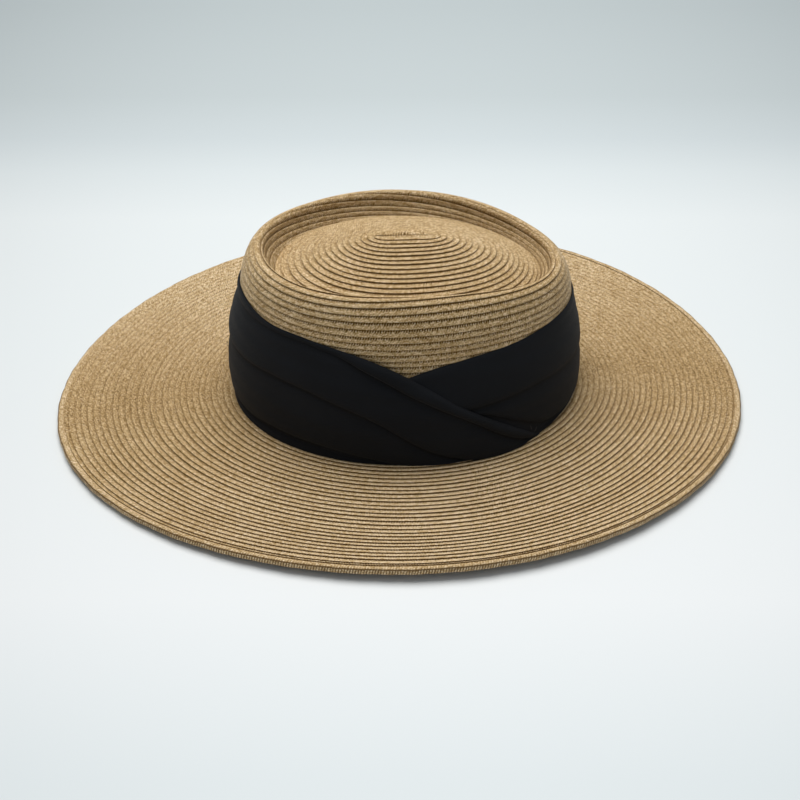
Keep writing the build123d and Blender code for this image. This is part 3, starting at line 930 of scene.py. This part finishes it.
def sleeve(name, half_width, height, outer, inner, first, last, segments, sides=16):
    """A short open sleeve round the wire."""
    angle = np.radians(np.linspace(first, last, segments))
    path = place(np.full(segments, half_width), np.full(segments, height), angle)
    out = tube(path, outer, sides)
    inside = tube(path, inner, sides)
    points = np.concatenate([out, inside[::-1]])
    quads = grid_faces(2 * segments, sides, wrap_columns=True, wrap_rows=True)
    return make_mesh(name, points, quads, sharp=40)


def sweatband_ring(name):
    """The tape inside the head opening, a little wavy."""
    foot, height = node_box("sweatband")[0][2], 28.0
    straw, gap, cloth = 1.5, 0.1, 0.6
    z = np.array([foot, foot + 0.4, foot + 5, foot + 14, foot + 23, foot + height - 0.4, foot + height])
    bow = np.array([0.0, 0.0, 0.05, 0.1, 0.1, 0.3, 0.5])
    outer = wall_half_width(z) - straw - gap - bow
    inner = outer - cloth
    section_r = np.concatenate([outer, inner[::-1]])
    section_z = np.concatenate([z, z[::-1]])
    segments = 360
    angle = np.linspace(0, FULL_TURN, segments, endpoint=False)
    wave = 0.10 * np.sin(9 * angle) + 0.07 * np.sin(23 * angle + 1)
    r = section_r[None, :] - np.abs(wave)[:, None]
    points = place(r, np.broadcast_to(section_z, r.shape), angle[:, None])
    rows = len(section_r)
    quads = grid_faces(segments, rows, wrap_columns=True, wrap_rows=True)
    step = FULL_TURN * BASE / segments
    column, row = quads[:, 0] // rows, quads[:, 0] % rows
    nxt = (row + 1) % rows
    uv = np.stack([np.stack([(column + a) * step, section_z[b]], 1)
                   for a, b in ((0, row), (1, row), (1, nxt), (0, nxt))], axis=1)
    return make_mesh(name, points, quads, uv=uv, sharp=50)


def braid_tail(name):
    """The end of the braid, laid flat under the brim at the back."""
    angle = np.radians(np.linspace(94, 103, 40))
    from_hem = 3.0
    middle = EDGE - HEM_DEPTH - from_hem
    s0 = profile.length - from_hem
    across = np.array([-1.7, -1.5, 0.0, 1.5, 1.7, 1.5, 0.0, -1.5])
    down = np.array([-2.0, -1.75, -1.65, -1.75, -2.0, -2.4, -2.5, -2.4])
    r, z = profile.at(s0 + across[None, :] + 0.0 * angle[:, None], down[None, :] + 0.0 * angle[:, None])
    points = place(r, z, angle[:, None])
    quads = grid_faces(len(angle), len(across), wrap_rows=True)
    u = (angle - angle[0]) * middle
    uv_points = np.stack(np.broadcast_arrays(u[:, None], across[None, :] + 1.8), -1).reshape(-1, 2)
    caps = end_caps(len(angle), len(across))
    return make_mesh(name, points, quads, caps, uv=uv_points[quads], sharp=50)


def tack_threads(name):
    """Hand stitches through the band: at the tucked end, at the sides and at the back."""
    # (degrees, height, stand-off, slant) of each stitch
    spots = [(309.5, 17.5, 4.3, 0.5), (307.0, 20.5, 4.6, -0.4), (0, 40, 2.9, 0), (180, 40, 2.9, 0),
             (90, 24, 2.2, 0), (90, 40, 2.2, 0), (90, 56, 2.0, 0)]
    half_length, radius, rise, aside = 1.4, 0.17, 0.25, 1e-4
    t = np.linspace(-1, 1, 9)
    stitches = []
    for degrees, height, stand, slant in spots:
        z = height + half_length * t
        angle = np.radians(degrees) + slant * t * 0.012
        r = wall_half_width(z) + stand + band_belly(z) + rise * (1 - t**2)
        path = place(r, z, angle) + aside * t[:, None]  # kept from standing quite upright
        stitches.append(tube(path, radius, THREAD_SIDES))
    return join_tubes(name, stitches)


# ---------------------------------------------------------------- the hat

for zone, piece_name, node, straw in (
    ("start", "braid_start_row", "braid_start", STRAW),
    ("tip", "crown_tip_rows", "crown_tip_braid", STRAW),
    ("well", "crown_well_rows", "crown_well_braid", STRAW),
    ("rim", "crown_rim_rows", "crown_rim_braid", STRAW),
    ("side", "crown_side_rows", "crown_side_braid", STRAW),
    ("brim", "brim_rows", "brim_braid", BRIM_STRAW_PAINTED_LIGHT),
):
    finish_piece(braid_strip(piece_name, zone), straw, "straw_braid", node)
finish_piece(hem_ring("hem_row"), STRAW_EDGE, "straw_braid", "hem_braid")
finish_piece(braid_tail("braid_tail_end"), BRIM_STRAW_PAINTED_LIGHT, "straw_braid", "braid_tail")

wire_half_width = EDGE - 2.2
wire_height = HEM_TOP - HEM_HEIGHT / 2
wire_radius, joiner_inside, joiner_outside = 0.65, 0.67, 0.95
wire = ring_tube("edge_wire", wire_half_width, wire_height, wire_radius, 90.2, 449.8, 480)
finish_piece(wire, STEEL, "brim_wire", "brim_wire")
joiner = sleeve("edge_wire_joiner", wire_half_width, wire_height, joiner_outside, joiner_inside,
                86.5, 93.5, 14)
finish_piece(joiner, BRASS, "wire_joiner", "wire_joiner")

stitch_pitch, stitch_length, thread_radius = 6.0, 3.0, 0.2
hem_half_width, hem_stitch_height = EDGE - HEM_DEPTH - 0.5, HEM_TOP - 2.0
hem_thread = stitch_run("hem_thread", hem_half_width, hem_stitch_height, stitch_pitch, stitch_length,
                        thread_radius, (0, -0.3))
finish_piece(hem_thread, TAN_THREAD, "straw_thread", "hem_stitches")

sweatband = finish_piece(sweatband_ring("sweatband_tape"), TAPE, "sweatband_cloth", "sweatband")
tape_height = 14.5
tape_thread = stitch_run("sweatband_thread", wall_half_width(tape_height) - 2.5, tape_height, stitch_pitch,
                         stitch_length, thread_radius, (-0.2, 0))
finish_piece(tape_thread, BROWN_THREAD, "sweatband_thread", "sweatband_stitches")

over = finish_piece(over_band(), BAND, "band_cloth", "band_over_strip")
under = finish_piece(under_band(), BAND, "band_cloth", "band_under_strip")
finish_piece(tack_threads("band_tack_threads"), BLACK_THREAD, "band_thread", "band_tack_stitches")


# ---------------------------------------------------------------- floor, light and camera


HEADING, ELEVATION = math.radians(6.26), math.radians(33.37)  # of the camera
CAMERA_PLACE = (-0.10874, -0.96458, 0.63546)  # metres
FLOOR_HALF = 6.0  # metres
# Painted light and shade on the floor, by metres behind the middle of the hat, from 0.4 in front of it.
FLOOR_PAINTED_LIGHT = [(0.08, (0.72, 0.765, 0.775)), (0.21, (0.80, 0.82, 0.825)), (0.45, (0.75, 0.785, 0.79)),
               (0.62, (0.72, 0.755, 0.76)), (0.69, (0.645, 0.69, 0.70)), (0.745, (0.56, 0.61, 0.625)),
               (0.82, (0.50, 0.55, 0.56)), (1.0, (0.46, 0.51, 0.52))]


def make_floor():
    """A pale floor with painted light: painted brighter around the hat, with painted shade far behind it and
    towards its sides.
    """
    mat, n = material("floor")
    where = n.place()
    back, side = [n.add("ShaderNodeVectorMath", operation="DOT_PRODUCT") for _ in range(2)]
    for node, direction in ((back, (math.sin(HEADING), math.cos(HEADING), 0)),
                            (side, (math.cos(HEADING), -math.sin(HEADING), 0))):
        n.tree.links.new(where, node.inputs[0])
        node.inputs[1].default_value = direction
    color = n.ramp(n.math("ADD", back.outputs["Value"], 0.4), FLOOR_PAINTED_LIGHT)
    off = n.math("SUBTRACT", side.outputs["Value"], 0.05)
    shade = n.math("SUBTRACT", 1.0, n.math("MULTIPLY", n.math("MULTIPLY", off, off), 1.3))
    shade = n.math("MAXIMUM", shade, 0.8)
    color = n.mix("MULTIPLY", 1.0, color, shade)
    n.finish(color, 0.9)
    mesh = bpy.data.meshes.new("floor")
    corners = [(x * FLOOR_HALF, y * FLOOR_HALF, 0) for x, y in ((-1, -1), (1, -1), (1, 1), (-1, 1))]
    mesh.from_pydata(corners, [], [(0, 1, 2, 3)])
    mesh.materials.append(mat)
    floor = link(bpy.data.objects.new("floor", mesh))


def make_area_light(name, position, target, size, power, color):
    """A round soft light that points at the target."""
    data = bpy.data.lights.new(name, "AREA")
    data.shape = "DISK"
    data.size = size
    data.energy = power
    data.color = color
    lamp = link(bpy.data.objects.new(name, data))
    lamp.location = position
    lamp.rotation_euler = (Vector(target) - Vector(position)).to_track_quat("-Z", "Y").to_euler()


def make_world():
    """A faint cool light from all round."""
    world = bpy.data.worlds.new("studio")
    bpy.context.scene.world = world
    world.use_nodes = True
    background = world.node_tree.nodes["Background"]
    background.inputs["Color"].default_value = (0.86, 0.93, 1.0, 1.0)
    background.inputs["Strength"].default_value = 0.36


def make_camera():
    """The camera looks down at 33 degrees from a little to the left of the crossing of the band."""
    level = math.cos(ELEVATION)
    forward = Vector((math.sin(HEADING) * level, math.cos(HEADING) * level, -math.sin(ELEVATION)))
    data = bpy.data.cameras.new("camera")
    data.lens = 88.4
    data.sensor_width = 36.0
    data.clip_start = 0.05
    camera = link(bpy.data.objects.new("camera", data))
    camera.location = CAMERA_PLACE
    camera.rotation_euler = forward.to_track_quat("-Z", "Y").to_euler()
    bpy.context.scene.camera = camera


make_floor()
make_world()
make_area_light("overhead", (-0.15, 0.36, 1.7), (0, 0, 0.05), 1.7, 33.5, (1.0, 0.985, 0.96))
make_camera()
bpy.context.scene.view_settings.view_transform = "Standard"
